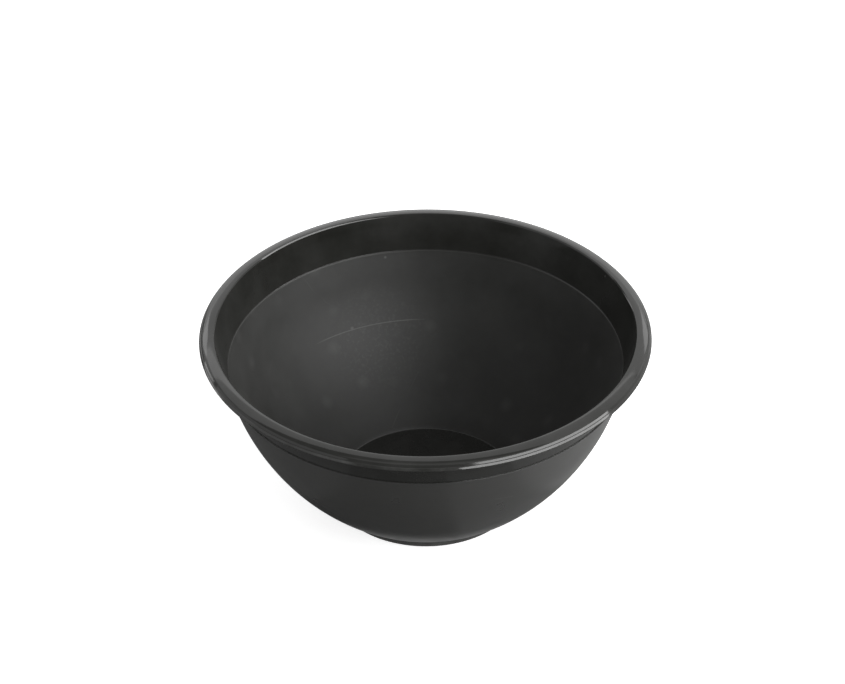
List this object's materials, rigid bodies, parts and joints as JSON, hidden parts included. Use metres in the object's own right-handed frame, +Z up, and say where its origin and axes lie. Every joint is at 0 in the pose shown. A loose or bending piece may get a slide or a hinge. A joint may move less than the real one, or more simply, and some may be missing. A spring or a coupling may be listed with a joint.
{
  "type": "hair color mixing bowl",
  "caption": "Round open mixing bowl with a domed rim, an upper band set off by a small ledge, tapering walls and a low ring foot with a non-slip ring under it.",
  "frame": {"origin": "on the axis of the bowl, in the plane that it stands on", "axes": "+Z up along the bowl's axis of symmetry, out of its mouth; X and Y are level and interchangeable"},
  "size_m": [0.14, 0.14, 0.0629],
  "materials": {
    "shell_plastic": "satin moulded polypropylene, charcoal black",
    "ring_rubber": "matte soft thermoplastic rubber, black"
  },
  "bodies": {
    "root": {"bowl_shell": "shell_plastic", "non_slip_ring": "ring_rubber"}
  },
  "joints": []
}
